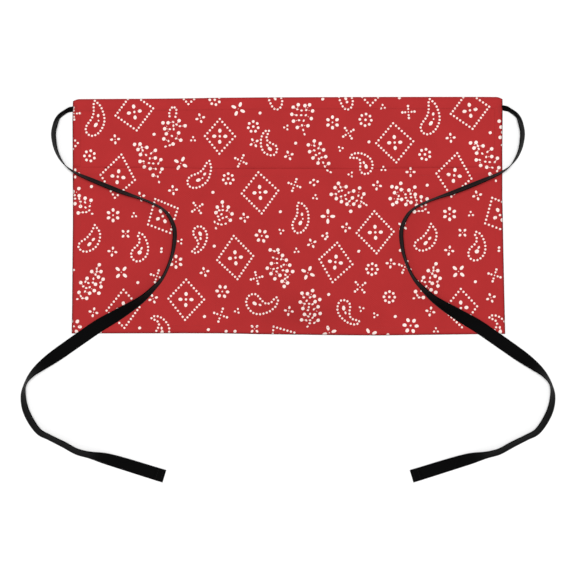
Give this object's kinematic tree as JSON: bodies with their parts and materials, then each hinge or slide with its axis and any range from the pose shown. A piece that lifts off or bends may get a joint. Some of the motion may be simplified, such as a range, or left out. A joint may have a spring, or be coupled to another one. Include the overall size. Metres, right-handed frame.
{
  "type": "half waist apron",
  "caption": "Half waist apron lying flat: hemmed printed cloth with a full-width divided pocket open along its upper edge, and flat ribbon ties at the upper corners, laid loose.",
  "frame": {"origin": "middle of the apron's cloth, on the surface that it lies on", "axes": "+X along the waist to the right of the front, +Y up the apron to its upper edge, +Z out of its front"},
  "size_m": [0.6314, 0.4555, 0.0244],
  "materials": {
    "printed_twill": "matt cotton twill, red with a small white print",
    "black_ribbon": "black ribbed ribbon with a slight sheen"
  },
  "bodies": {
    "root": {"apron_panel": "printed_twill", "pocket_panel": "printed_twill", "tie_left": "black_ribbon", "tie_right": "black_ribbon"}
  },
  "joints": []
}
